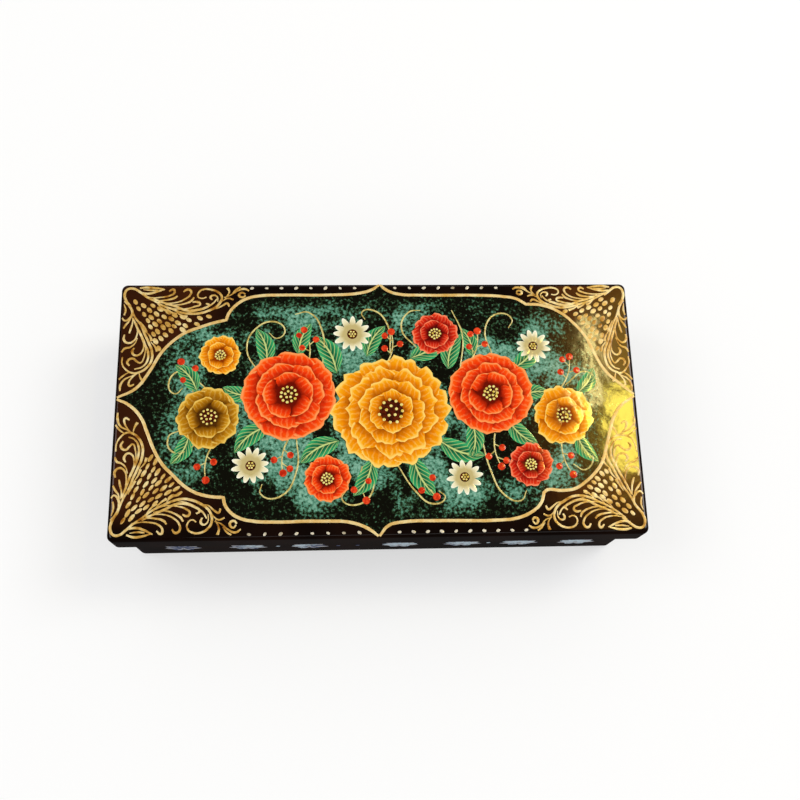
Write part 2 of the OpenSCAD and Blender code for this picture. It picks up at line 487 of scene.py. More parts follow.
def add_spline(curve, points, widths, sharp, closed=False):
    """One smooth run through points in millimetres, with a kink at the points named sharp."""
    spline = curve.splines.new("BEZIER")
    spline.bezier_points.add(len(points) - 1)
    spline.use_cyclic_u = closed
    for i, (knot, point, width) in enumerate(zip(spline.bezier_points, points, widths)):
        knot.co = (point[0] * MM, point[1] * MM, 0)
        knot.radius = width
        knot.handle_left_type = knot.handle_right_type = "VECTOR" if i in sharp else "AUTO"


def curve_bmesh(curve):
    """The surface of a curve as a bmesh. The curve itself goes."""
    holder = bpy.data.objects.new("drawn", curve)
    bpy.context.scene.collection.objects.link(holder)
    mesh = bpy.data.meshes.new_from_object(holder.evaluated_get(bpy.context.evaluated_depsgraph_get()))
    bpy.data.objects.remove(holder)
    bpy.data.curves.remove(curve)
    bm = bmesh.new()
    bm.from_mesh(mesh)
    bpy.data.meshes.remove(mesh)
    return bm


def stroke_widths(style, count, width):
    """Widths along a brush stroke: a stem swells in the middle, a comma starts fat and runs out."""
    along = [i / (count - 1) for i in range(count)]
    if style == "comma":
        return [width * (1 - 0.72 * t) * min(1, 0.55 + 3 * t) for t in along]
    if style == "drop":
        return [width * (0.25 + 0.75 * t) for t in along]
    return [width * (0.55 + 0.45 * math.sin(math.pi * min(1, 0.08 + t))) for t in along]


def strokes_bmesh(strokes, rise):
    """Low rounded brush strokes on the plane z = 0, from their points, widths and sharp points."""
    curve = bpy.data.curves.new("strokes", "CURVE")
    curve.dimensions = "3D"
    curve.twist_mode = "Z_UP"
    curve.bevel_depth = MM / 2
    curve.bevel_resolution = 1
    curve.resolution_u = 5
    curve.use_fill_caps = True
    for points, widths, sharp in strokes:
        add_spline(curve, points, widths, sharp)
    bm = curve_bmesh(curve)
    flatten(bm, rise)
    bmesh.ops.recalc_face_normals(bm, faces=bm.faces)
    return bm


def flatten(bm, rise):
    """Presses round strokes down to low ridges that stand on z = 0 and end just under it."""
    top = max(v.co.z for v in bm.verts)
    for v in bm.verts:
        share = v.co.z / top
        v.co.z = rise * MM * (share ** 0.7 if share > 0 else -SINK)


# The construction's own pieces

def softened(node, name, body, slot, materials, radius=0, picked=None):
    """A merged copy of a CAD node, with those of its sharp edges that are picked rounded off."""
    bm = bmesh.new()
    bm.from_mesh(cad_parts[node].data)
    bmesh.ops.remove_doubles(bm, verts=bm.verts, dist=WELD)
    bmesh.ops.dissolve_limit(bm, angle_limit=math.radians(0.5), verts=bm.verts, edges=bm.edges)
    if picked:
        edges = [e for e in bm.edges if e.calc_face_angle(0) > SHARP and picked(e)]
        bmesh.ops.bevel(bm, geom=edges, offset=radius * MM, offset_type="OFFSET", affect="EDGES",
                        segments=3, profile=0.5, material=-1, clamp_overlap=True)
    piece = keep(bm, name, materials, body, slot)
    normals = piece.modifiers.new("even shading", "WEIGHTED_NORMAL")
    normals.keep_sharp = True
    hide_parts(node)
    return piece


def at_height(height, tolerance=0.01 * MM):
    """Picks edges that lie in the level plane at that height."""
    return lambda edge: all(abs(v.co.z - height) < tolerance for v in edge.verts)


def outer_rim(half_w, front):
    """Picks the level edges at the rim, round the front and sides of the box."""
    level = at_height(RIM_Z)
    return lambda edge: level(edge) and all(abs(v.co.x) > half_w - MM or v.co.y < front + MM
                                            for v in edge.verts)


def paint_faces(piece, index, picked):
    """Gives the faces that are picked the piece's material of that index."""
    for face in piece.data.polygons:
        if picked(face):
            face.material_index = index


def faces_up(face):
    """Whether a face looks up."""
    return face.normal.z > 0.9


def faces_down(face):
    """Whether a face looks down."""
    return face.normal.z < -0.9


def faces_inward(face):
    """Whether a standing face looks to the middle of the box."""
    return abs(face.normal.z) < 0.5 and face.normal.x * face.center.x + face.normal.y * face.center.y < 0


class OBJECT_OT_box_shells(bpy.types.Operator):
    """Lacquers the walls, bottom, collar, lid frame and lid panel"""
    bl_idname = "lacquer_box.shells"
    bl_label = "Shells"

    def execute(self, context):
        cfg = settings("lacquer")
        black = lacquer_material("black oil lacquer, rubbed", cfg.black, cfg.black_worn, cfg.rubbed)
        top = lacquer_material("black oil lacquer, polished", cfg.black, cfg.black_worn, 1.0, cfg.dust)
        red = lacquer_material("cinnabar oil lacquer, rubbed", cfg.red, cfg.red_deep, cfg.inner)
        bottom = softened("bottom_panel", "bottom_board", "body", "black_lacquer", [black, red],
                          cfg.bottom_round, at_height(0))
        paint_faces(bottom, 1, faces_up)
        softened("wall_frame", "side_walls", "body", "black_lacquer", [black], cfg.edge_round,
                 outer_rim(wall_high.x, wall_low.y))
        softened("inner_collar", "guide_collar", "body", "red_lacquer", [red], cfg.edge_round,
                 at_height(collar_high.z))
        skirt = softened("lid_frame", "lid_skirt", "lid", "black_lacquer", [black, red], cfg.edge_round,
                         outer_rim(frame_high.x, frame_low.y))
        paint_faces(skirt, 1, faces_inward)
        board = softened("lid_panel", "lid_board", "lid", "black_lacquer", [black, red, top])
        paint_faces(board, 1, faces_down)
        paint_faces(board, 2, faces_up)
        return {"FINISHED"}


class OBJECT_OT_box_hinge(bpy.types.Operator):
    """Finishes the hinge's leaves, pin and nails"""
    bl_idname = "lacquer_box.hinge"
    bl_label = "Hinge"

    def execute(self, context):
        cfg = settings("hinge")
        brass = brass_material("rolled brass, handled", cfg)
        steel = steel_material("drawn steel wire", cfg)
        for body in ("body", "lid"):
            for part in ("leaf", "nails"):
                softened(f"hinge_{body}_{part}", f"{body}_{part}", body, "hinge_brass", [brass])
        softened("hinge_pin", "pin", "body", "pin_steel", [steel])
        return {"FINISHED"}


# The gold line round the picture, as four hand-drawn quarters in lid millimetres. Each has the
# points that the brush passes and the number of the one where it kinks.

LINE_QUARTERS = [
    ([(0.6, 32.6), (-1.4, 31.2), (-4.5, 30.3), (-12, 29.8), (-25, 29.8), (-30, 29.6), (-33.6, 28.7),
      (-36, 27), (-37.6, 25), (-38.3, 23), (-41.2, 22.3), (-45, 21), (-48.4, 19.6), (-51.7, 17.1),
      (-54.2, 14.2), (-56.9, 9.2), (-60, 4.9), (-64.4, 2.6)], 9),
    ([(-64.4, 2.2), (-61.5, 0.8), (-58.4, -2.4), (-56.7, -6.2), (-55, -10.3), (-52.6, -14.4),
      (-50.1, -17), (-48, -19.1), (-45, -21.2), (-41.6, -22.3), (-37.8, -22.7), (-37.4, -24.5),
      (-36.2, -26.2), (-34, -27.7), (-31, -28.5), (-27, -28.8), (-14, -28.8), (-7, -29.3),
      (-3.2, -30.8), (-0.8, -32.6)], 10),
    ([(-0.6, -32.6), (1.6, -30.1), (5, -29.3), (14, -29.1), (28, -29.2), (33, -28.7), (36.4, -27.3),
      (38.8, -25.2), (39.7, -22.6), (40.6, -21.9), (44, -22.1), (47.4, -21.7), (50.4, -19.9),
      (53, -17.5), (54.7, -15.2), (56.2, -11), (57.3, -7.4), (58.6, -3.6), (60.4, -0.9),
      (64.4, 2.0)], 8),
    ([(0.8, 32.6), (2.2, 31.3), (5, 30.1), (12, 29.7), (26, 29.6), (32, 29.3), (36, 28.6),
      (38.4, 27.1), (42.4, 26.8), (46.8, 25), (50.8, 21.4), (53.4, 17.8), (55.1, 13.7), (57.6, 8.7),
      (60.9, 5.4), (64.4, 2.4)], 7),
]

# One corner's scrolls in millimetres from the corner: x along the long edge, y along the short one.
# Each stroke is its style and the points the brush passes.

FOOT = [(6.2, 4.3), (4.3, 2.5), (3.1, 1.6), (1.7, 1.6), (0.9, 2.8), (1.1, 4.8), (2.3, 7.0)]

LONG_ARM = [
    ("stem", [(6.0, 4.2), (8.6, 6.0), (10.4, 7.3), (12.5, 8.4), (14.8, 9.5), (17.2, 10.1),
              (19.4, 9.9), (21.6, 8.9), (23.4, 7.6), (24.4, 6.0), (24.6, 4.3), (23.7, 2.8),
              (21.9, 1.9), (20.0, 1.9), (18.9, 2.9), (18.9, 4.2), (19.8, 4.9), (20.9, 4.5)]),
    ("stem", [(8.0, 5.0), (10.6, 6.3), (13.4, 7.6), (15.9, 8.8), (18.3, 8.9), (20.6, 8.0),
              (22.6, 6.6), (23.4, 5.2)]),
    ("comma", [(22.3, 5.5), (21.9, 4.4), (22.7, 3.8), (23.6, 4.5), (23.7, 6.2)]),
    ("comma", [(11.7, 2.4), (12.7, 1.8), (13.1, 2.8), (12.1, 3.8), (10.2, 4.5), (7.4, 4.5),
               (5.6, 3.8)]),
    ("comma", [(15.2, 2.7), (16.1, 1.8), (17.1, 2.4), (16.9, 3.8), (15.6, 5.3), (13.5, 6.2),
               (10.9, 6.4), (8.9, 6.0)]),
    ("comma", [(17.6, 6.2), (18.8, 6.0), (19.4, 6.7), (18.2, 7.7), (16.1, 8.4), (13.0, 8.4),
               (11.4, 7.8)]),
    ("comma", [(20.9, 6.5), (21.6, 7.1), (20.6, 8.1), (18.6, 9.0), (16.2, 9.7)]),
    ("comma", [(13.9, 4.0), (13.2, 4.8), (11.4, 5.4), (9.0, 5.5), (7.2, 4.9)]),
    ("comma", [(17.8, 4.6), (17.3, 5.6), (15.9, 6.5), (13.4, 7.2), (10.8, 7.0)]),
    ("drop", [(9.0, 6.6), (10.4, 8.3), (11.4, 9.0)]),
    ("drop", [(11.2, 8.0), (12.6, 9.5), (13.8, 10.1)]),
    ("drop", [(13.6, 9.2), (15.0, 10.6), (16.4, 11.1)]),
    ("stem", [(4.9, 3.0), (6.8, 3.2), (8.8, 2.6), (10.7, 1.7)]),
    ("stem", [(4.6, 1.5), (6.4, 1.1), (8.4, 1.3), (10.4, 1.8)]),
    ("comma", [(9.0, 2.1), (7.2, 2.2), (5.4, 1.9)]),
    ("comma", [(26.6, 7.7), (26.1, 6.7), (25.0, 7.2), (23.6, 8.3), (22.2, 8.6)]),
    ("comma", [(27.5, 5.4), (26.1, 4.9), (24.6, 6.0)]),
    ("drop", [(25.4, 4.9), (26.4, 2.8), (26.0, 1.3)]),
    ("comma", [(31.4, 2.5), (30.3, 1.8), (28.5, 2.4), (26.8, 3.9), (25.2, 4.6)]),
    ("stem", [(30.5, 3.9), (29.7, 4.6), (28.9, 3.9), (29.6, 3.0), (30.4, 3.6)]),
    ("comma", [(29.2, 1.2), (28.2, 1.8), (27.2, 3.2)]),
]

SHORT_ARM = [
    ("stem", [(2.3, 7.0), (3.4, 10.0), (4.7, 12.6), (5.6, 15.2), (6.6, 17.8), (7.4, 20.4),
              (7.4, 23.0), (6.5, 25.1), (5.0, 26.4), (3.4, 26.6), (2.0, 25.6), (1.2, 23.8),
              (1.1, 21.9)]),
    ("stem", [(3.0, 10.4), (4.0, 13.2), (4.9, 15.8), (5.8, 18.4), (6.5, 20.6), (6.4, 23.2),
              (5.4, 25.0), (3.9, 25.6)]),
    ("comma", [(2.7, 24.6), (2.3, 23.3), (3.3, 22.4), (4.3, 23.3), (5.0, 23.8), (5.7, 22.4),
               (6.0, 20.4), (6.0, 18.6)]),
    ("comma", [(3.6, 19.3), (3.2, 20.4), (3.9, 21.4), (4.9, 21.1), (5.5, 19.6), (5.5, 17.6),
               (5.1, 15.8)]),
    ("comma", [(1.3, 15.4), (1.2, 16.9), (2.2, 17.8), (3.4, 17.1), (4.0, 15.3), (3.9, 13.3),
               (3.7, 11.8)]),
    ("comma", [(2.3, 15.0), (2.6, 13.6), (2.9, 12.0), (2.9, 10.2)]),
    ("comma", [(0.9, 20.6), (1.5, 19.5), (2.6, 19.0), (3.6, 18.0), (4.2, 16.4)]),
    ("comma", [(0.9, 13.6), (1.5, 12.4), (2.3, 11.0), (2.5, 9.2)]),
    ("drop", [(4.6, 11.4), (5.5, 13.2), (6.0, 14.6)]),
    ("drop", [(5.8, 14.4), (6.8, 16.0), (7.3, 17.4)]),
    ("drop", [(7.0, 17.6), (8.0, 19.0), (8.5, 20.4)]),
    ("stem", [(0.9, 5.2), (2.2, 7.0), (2.7, 8.8), (2.2, 10.4), (1.2, 11.1), (0.6, 10.4)]),
    ("comma", [(1.0, 9.6), (1.3, 8.0), (0.9, 6.2)]),
    ("comma", [(1.0, 31.8), (1.0, 30.2), (1.9, 28.4), (3.5, 27.4), (4.8, 26.4)]),
    ("comma", [(3.9, 29.9), (2.9, 30.3), (2.9, 29.0), (3.6, 27.7), (4.6, 26.6)]),
    ("drop", [(4.9, 26.6), (5.3, 28.0), (5.9, 29.2)]),
    ("comma", [(0.7, 28.6), (1.5, 27.4), (2.8, 26.4)]),
]

# How each corner's hand-drawn arms differ: its side in x and y, the long arm's and the short arm's
# stretch along x and y, and the length and width of its grains beside the usual
Corner = namedtuple("Corner", "name side_x side_y long_stretch short_stretch grain")

CORNERS = [
    Corner("front_left", -1, -1, (1.0, 1.0), (1.0, 1.0), (1.05, 1.0)),
    Corner("back_left", -1, 1, (1.03, 0.82), (1.15, 0.9), (0.88, 1.28)),
    Corner("back_right", 1, 1, (0.95, 0.68), (0.95, 0.93), (0.82, 1.3)),
    Corner("front_right", 1, -1, (0.94, 0.94), (1.2, 0.93), (0.85, 1.2)),
]

# How far the hand strays from a point of a scroll, in millimetres
SHAKE = 0.09

# The field of a corner's grains: its tip by the corner, how many of each main stem's points bound
# it, and how far out the gold line's points must lie to bound it
WEDGE_TIP = (2.4, 2.4)
WEDGE_STEM = 8
WEDGE_LINE = (38.0, 8.0)

# The rows of grains fanned round a corner: from and to which distance, how close the grains of a
# row stand beside the rows, how far a grain keeps in from the field's edge and strays from its place
FAN = (4.2, 30)
GRAIN_CROWD = 0.76
GRAIN_MARGIN = 1.05
GRAIN_STRAY = 0.2

# How far a grain turns off the fan's own direction, in radians, and the sizes of the grains
GRAIN_TURN = 0.15
GRAIN_SIZES = (0.85, 1.12)

# The rows of dots by the lid's long edges: first place, pitch, count and side of the lid
DOT_ROWS = [(-32.0, 3.75, 8, 1), (4.6, 3.75, 8, 1), (-31.6, 3.75, 8, -1), (4.2, 3.4, 10, -1)]
DOT_INSET = 1.25
DOT_WIDTH = 0.68  # beside its length
DOT_TURNS = (-0.7, 0.9)
DOT_SIZES = (0.8, 1.1)

# How high the gold line stands beside the rest of the gold, and how thick it is where a quarter ends
LINE_RISE = 1.4
LINE_END = 0.75


def corner_point(point, stretch, corner, hand=None):
    """A point of a corner's motif as a point of the lid. A hand that draws it shakes a little."""
    x = point[0] * stretch[0]
    y = point[1] * stretch[1]
    if hand:
        x += hand.uniform(-SHAKE, SHAKE)
        y += hand.uniform(-SHAKE, SHAKE)
    return (corner.side_x * (HALF_W - x), corner.side_y * (HALF_D - y))


def foot_stretch(point, corner):
    """The stretch at a point of the foot, which passes from the long arm's to the short arm's."""
    share = math.atan2(point[1], point[0]) / (math.pi / 2)
    return [a + (b - a) * share for a, b in zip(corner.long_stretch, corner.short_stretch)]


def corner_strokes(corner, cfg, hand):
    """Every stroke of one corner, on the lid, in millimetres."""
    foot = [corner_point(p, foot_stretch(p, corner), corner) for p in FOOT]
    strokes = [(foot, [cfg.stem_width] * len(foot), ())]
    for arm, stretch in ((LONG_ARM, corner.long_stretch), (SHORT_ARM, corner.short_stretch)):
        for style, points in arm:
            width = cfg.stem_width if style == "stem" else cfg.curl_width
            placed = [corner_point(p, stretch, corner, hand) for p in points]
            strokes.append((placed, stroke_widths(style, len(placed), width), ()))
    return strokes


def distance_to_line(point, line):
    """Distance from a point to a chain of straight pieces."""
    best = math.inf
    for (ax, ay), (bx, by) in zip(line, line[1:]):
        dx, dy = bx - ax, by - ay
        along = ((point[0] - ax) * dx + (point[1] - ay) * dy) / (dx * dx + dy * dy)
        along = min(1.0, max(0.0, along))
        best = min(best, math.hypot(point[0] - ax - along * dx, point[1] - ay - along * dy))
    return best


def inside(point, outline):
    """Whether a point lies inside a closed outline."""
    within = False
    for (ax, ay), (bx, by) in zip(outline, outline[1:] + outline[:1]):
        if (ay > point[1]) != (by > point[1]) and point[0] < (bx - ax) * (point[1] - ay) / (by - ay) + ax:
            within = not within
    return within


def wedge(corner):
    """The field that a corner's grains fill: between the two stems, out to the gold line."""
    long_stem = [corner_point(p, corner.long_stretch, corner) for p in LONG_ARM[0][1][:WEDGE_STEM]]
    short_stem = [corner_point(p, corner.short_stretch, corner) for p in SHORT_ARM[0][1][:WEDGE_STEM]]
    # The sixth point of a quarter is well away from both of its ends
    quarter = next(points for points, _ in LINE_QUARTERS
                   if points[5][0] * corner.side_x > 0 and points[5][1] * corner.side_y > 0)
    near = [p for p in quarter if abs(p[0]) > WEDGE_LINE[0] and abs(p[1]) > WEDGE_LINE[1]]
    if abs(near[0][0]) > abs(near[-1][0]):
        near.reverse()
    return [corner_point(WEDGE_TIP, (1, 1), corner)] + long_stem + near + short_stem[::-1]


def grain_spots(corner, cfg, hand):
    """Place, slant and size of each of a corner's grains, in rows fanned round the corner."""
    outline = wedge(corner)
    closed = outline + outline[:1]
    corner_x, corner_y = corner.side_x * HALF_W, corner.side_y * HALF_D
    row = 0
    distance = FAN[0]
    while distance < FAN[1]:
        count = max(2, round(distance * math.pi / 2 / (cfg.grain_pitch * GRAIN_CROWD)))
        for i in range(count):
            turn = (i + 0.5 * (row % 2)) / count * math.pi / 2
            out_x, out_y = corner.side_x * math.cos(turn), corner.side_y * math.sin(turn)
            x = corner_x - distance * out_x + hand.uniform(-GRAIN_STRAY, GRAIN_STRAY)
            y = corner_y - distance * out_y + hand.uniform(-GRAIN_STRAY, GRAIN_STRAY)
            if inside((x, y), outline) and distance_to_line((x, y), closed) > GRAIN_MARGIN:
                slant = math.atan2(-out_y, -out_x) + hand.uniform(-GRAIN_TURN, GRAIN_TURN)
                yield x, y, slant, hand.uniform(*GRAIN_SIZES)
        distance += cfg.grain_pitch
        row += 1


def dot_spots():
    """The places of the dots by the lid's long edges."""
    for start, pitch, count, side in DOT_ROWS:
        for i in range(count):
            yield start + i * pitch, side * (HALF_D - DOT_INSET)


def add_grain(bm, x, y, slant, length, width, rise):
    """One oval drop of paint, a low dome of a few faces."""
    place = Matrix.Translation((x * MM, y * MM, 0)) @ Matrix.Rotation(slant, 4, "Z")
    shape = Matrix.Diagonal((length * MM / 2, width * MM / 2, rise * MM, 1))
    made = bmesh.ops.create_uvsphere(bm, u_segments=10, v_segments=6, radius=1, matrix=place @ shape)
    for v in made["verts"]:
        v.co.z = max(v.co.z, -SINK * rise * MM)


class OBJECT_OT_box_line(bpy.types.Operator):
    """Draws the gold line round the picture"""
    bl_idname = "lacquer_box.line"
    bl_label = "Gold line"

    def execute(self, context):
        cfg = settings("gold")
        pale = gold_material("pale gold powder in gum", cfg.light, cfg.line, cfg.mid, cfg.rise)
        strokes = []
        for points, kink in LINE_QUARTERS:
            shares = [LINE_END] + [1.0] * (len(points) - 2) + [LINE_END]
            strokes.append((points, [cfg.line_width * share for share in shares], (kink,)))
        keep_on_lid(strokes_bmesh(strokes, cfg.rise * LINE_RISE), "gold_line", pale, "gold_paint")
        return {"FINISHED"}


class OBJECT_OT_box_scrolls(bpy.types.Operator):
    """Draws the gold scrolls, grains and dots of the lid's border"""
    bl_idname = "lacquer_box.scrolls"
    bl_label = "Gold border"

    def execute(self, context):
        cfg = settings("gold")
        gold = gold_material("gold powder in gum", cfg.light, cfg.mid, cfg.dark, cfg.rise)
        worn = gold_material("worn gold powder in gum", cfg.dot, cfg.dot, cfg.dot_thin, cfg.rise)
        hand = random.Random(4)
        for corner in CORNERS:
            bm = strokes_bmesh(corner_strokes(corner, cfg, hand), cfg.rise)
            keep_on_lid(bm, "scroll_" + corner.name, gold, "gold_paint")
        grains = bmesh.new()
        for corner in CORNERS:
            length = cfg.grain_length * corner.grain[0]
            width = cfg.grain_width * corner.grain[1]
            for x, y, slant, size in grain_spots(corner, cfg, hand):
                add_grain(grains, x, y, slant, length * size, width * size, cfg.rise)
        keep_on_lid(grains, "corner_grains", gold, "gold_paint")
        dots = bmesh.new()
        for x, y in dot_spots():
            slant = hand.uniform(*DOT_TURNS)
            length = cfg.dot_size * hand.uniform(*DOT_SIZES)
            add_grain(dots, x, y, slant, length, length * DOT_WIDTH, cfg.rise)
        keep_on_lid(dots, "edge_dots", worn, "gold_paint")
        return {"FINISHED"}


# The painted picture: a sponged ground and a bunch of flowers, in lid millimetres

# Each petal colour from dark to light, with the pale one of its lip and hatching
PALETTE = {
    "golden": ("#8a3400", "#ea8400", "#ffb014", "#ffda74"),
    "vermilion": ("#680e02", "#ec3406", "#ff5c0c", "#ffa25c"),
    "ochre": ("#4c2804", "#a86c08", "#d2961c", "#f0cc66"),
    "red": ("#520805", "#c01c0a", "#ea3a16", "#ff9468"),
    "cream": ("#c4b277", "#ebe1b6", "#f9f2d2", "#fffdea"),
}

LEAF_GREENS = ("#0d3a22", "#1f7a4c", "#3aa868", "#cfe08a")

# The plain paints: the colour, and the deeper one where it lies thick
DABS = {
    "dark brown": ("#5a1c06", "#2c0d04"),
    "pale yellow": ("#f4e58a", "#d9b848"),
    "red": ("#ee4a22", "#b8240e"),
    "straw": ("#dccf86", "#b39a4c"),
}

# Kind, colour, middle, radius and turn in degrees
FLOWERS = [
    ("peony", "golden", (3.0, -1.5), 14.6, 8),
    ("rose", "vermilion", (-22.5, 3.0), 11.6, 40),
    ("rose", "vermilion", (28.0, 3.0), 10.6, 75),
    ("poppy", "ochre", (-42.0, -2.5), 8.0, 20),
    ("poppy", "golden", (46.0, -3.0), 7.6, 50),
    ("poppy", "red", (14.5, 19.0), 5.8, 10),
    ("poppy", "vermilion", (-13.0, -18.5), 5.8, 33),
    ("poppy", "golden", (-39.5, 13.5), 5.2, 5),
    ("poppy", "red", (37.0, -15.5), 5.4, 25),
    ("daisy", "cream", (-6.5, 19.0), 4.8, 0),
    ("daisy", "cream", (-31.5, -15.0), 4.6, 12),
    ("daisy", "cream", (20.5, -18.5), 4.5, 7),
    ("daisy", "cream", (39.5, 15.5), 4.4, 15),
]

# Each kind's rings of petals from the outside in: petals, foot and tip as shares of the radius,
# width of a petal as a share of its room, and how ruffled its lip is
RINGS = {
    "peony": [(10, 0.42, 1.0, 1.5, 0.10), (9, 0.28, 0.8, 1.5, 0.10), (7, 0.16, 0.6, 1.5, 0.08),
              (6, 0.05, 0.41, 1.45, 0.06)],
    "rose": [(8, 0.4, 1.0, 1.6, 0.06), (7, 0.22, 0.76, 1.55, 0.06), (5, 0.08, 0.54, 1.5, 0.04)],
    "poppy": [(6, 0.18, 1.0, 1.45, 0.08), (5, 0.1, 0.66, 1.4, 0.05)],
    "daisy": [(12, 0.2, 1.0, 0.8, 0.0)],
}

# Radius of each kind's heart as a share of the flower's
HEARTS = {"peony": 0.2, "rose": 0.16, "poppy": 0.22, "daisy": 0.27}

# Each kind's stamens: how many stand round the heart and at what share of its radius, and the same
# for those upon it
STAMENS = {"peony": (11, 1.0, 5, 0.45), "rose": (11, 1.0, 5, 0.45), "poppy": (11, 1.0, 5, 0.45),
           "daisy": (6, 0.55, 1, 0.0)}

# Leaves: foot, heading in degrees, length, width and bend
LEAVES = [
    ((-10.5, 8.5), 118, 11.5, 5.2, 0.2), ((-3.0, 13.0), 60, 9.5, 4.4, -0.2),
    ((8.0, 12.5), 35, 11.0, 4.8, 0.2), ((17.5, 9.5), 70, 10.0, 4.6, -0.2),
    ((14.5, -9.0), -20, 12.0, 5.2, 0.2), ((8.0, -13.5), -62, 11.0, 5.0, 0.15),
    ((-2.0, -14.0), -118, 10.0, 4.6, -0.2), ((-10.0, -9.0), -150, 11.0, 5.0, 0.2),
    ((-28.0, 11.0), 105, 10.0, 4.6, 0.2), ((-31.0, 3.0), 165, 8.0, 4.0, -0.2),
    ((-27.5, -5.0), -140, 10.5, 4.8, 0.2), ((34.0, 9.5), 48, 10.0, 4.6, 0.2),
    ((35.5, 2.0), 8, 7.5, 3.8, -0.2), ((32.0, -4.0), -42, 9.5, 4.4, 0.2),
    ((23.0, -4.5), -95, 9.5, 4.4, -0.2), ((-45.0, 4.0), 128, 9.0, 4.2, 0.2),
    ((-46.5, -7.0), -120, 8.5, 4.0, -0.2), ((50.0, 3.0), 55, 8.0, 3.8, 0.2),
    ((49.0, -8.0), -55, 8.5, 4.0, 0.2), ((-20.0, 13.5), 70, 9.0, 4.2, -0.2),
    ((24.0, 13.0), 110, 8.0, 3.8, 0.2),
]

# Fine pale stems that run out between the leaves, each with the points the brush passes
TENDRILS = [
    [(-30, 9), (-33, 15), (-31, 20.5), (-26, 22.5), (-23.5, 20), (-25.5, 18), (-27.5, 19.5)],
    [(-43, 5), (-49, 9.5), (-52, 6.5), (-50.5, 3.5), (-48.5, 5)],
    [(-44, -9), (-50, -11.5), (-51.5, -7.5), (-49, -6)],
    [(-20.5, -8), (-20.3, -16), (-24.5, -22.8), (-29, -22), (-28.7, -19.6)],
    [(-3, -15), (-2, -21.5), (-6, -25), (-9.5, -23.5), (-8.5, -21.5)],
    [(4, -15), (8.5, -22), (12.5, -25), (15.5, -23.5), (14, -21.8)],
    [(25, -8), (27, -17), (30, -23), (34, -24.5), (35.5, -22)],
    [(48, -9), (52.5, -13), (50.5, -17), (47.5, -15.5)],
    [(47, 5), (53, 8.5), (55, 4), (52.5, 2.5)],
    [(29, 13), (27.5, 20.5), (31, 24.5), (34.5, 23), (33.5, 20.5)],
    [(3, 14), (2.5, 21.5), (-1, 25.5), (-4, 25), (-3.2, 23)],
    [(-14, 11), (-14, 19.5), (-17.5, 25), (-21, 24.5)],
    [(10, 15), (6, 20.5), (8, 25), (11, 25.5)],
    [(20.5, 9), (21.5, 19), (19, 25.5)],
]

# Sprigs of berries: foot, heading in degrees and number of berries
SPRIGS = [((-17.5, 11.8), 98, 4), ((-46.0, 4.0), 112, 3), ((2.2, 11.2), 82, 4),
          ((23.2, 11.5), 75, 4), ((46.0, 4.5), 72, 4), ((-22.5, -8.5), -98, 4),
          ((28.5, -7.5), -82, 4), ((-4.5, -15.5), -84, 3), ((10.0, -15.5), -66, 3),
          ((45.0, -10.0), -74, 3), ((-41.0, -10.0), -98, 3)]

# A sprig's length, how far its stem bows, and the widths of its stem and of a berry's stalk
SPRIG_LENGTH = 8.5
SPRIG_BOW = 0.8
SPRIG_WIDTHS = [0.45, 0.42, 0.38, 0.34, 0.3]
STALK_WIDTHS = [0.34, 0.28]

# Its berries: how far out those at the sides hang, and the radius of the one at its end and of those
BERRY_REACH = 1.9
END_BERRY = 0.95
SIDE_BERRY = 0.85

TENDRIL_WIDTH = 0.5

# Where a petal is widest, as a share of its length, how far it turns from its place in the ring, in
# radians, and the lengths of petals beside the ring's
PETAL_NECK = 0.4
PETAL_TURN = 0.06
PETAL_LENGTHS = (0.93, 1.05)

# Heights over the lacquer: the lowest petals and a heart's wall before the rings add theirs, what
# each ring adds, and the lowest leaves and what the next one adds, up to the fourth
PETAL_RISE = 0.06
HEART_RISE = 0.09
RING_RISE = 0.035
LEAF_RISE = 0.02
LEAF_STEP = 0.006
STEM_RISE = 0.05
BERRY_RISE = 0.04

# How high the domes of berries, hearts and stamens are, above their walls
BERRY_DOME = 0.06
HEART_DOME = 0.05
STAMEN_DOME = 0.03

# How far a shape's foot lies under the face that it stands on
FOOT_SINK = 0.01


def painted_shape(bm, outline, relief, segments):
    """A closed low shape with its foot just under z = 0: the outline and the relief are told how
    far across and along they are, from 0 to 1."""
    across, along = segments
    made = bmesh.ops.create_grid(bm, x_segments=across, y_segments=along, size=0.5, calc_uvs=True)["verts"]
    border = [e for e in {e for v in made for e in v.link_edges} if e.is_boundary]
    for v in made:
        u, t = v.co.x + 0.5, v.co.y + 0.5
        x, y = outline(u, t)
        v.co = (x * MM, y * MM, relief(u, t) * MM)
    skirt = bmesh.ops.extrude_edge_only(bm, edges=border)["geom"]
    rim = [g for g in skirt if isinstance(g, bmesh.types.BMEdge) and all(v not in made for v in g.verts)]
    for v in {v for e in rim for v in e.verts}:
        v.co.z = -FOOT_SINK * MM
    bmesh.ops.contextual_create(bm, geom=rim)


def turned(x, y, heading, foot):
    """A point drawn along +y from the origin, turned to a heading and moved to its foot."""
    cos_h, sin_h = math.cos(heading), math.sin(heading)
    return (foot[0] + y * cos_h + x * sin_h, foot[1] + y * sin_h - x * cos_h)


def around(middle, reach, angle):
    """The point that far from the middle at that angle."""
    return (middle[0] + reach * math.cos(angle), middle[1] + reach * math.sin(angle))


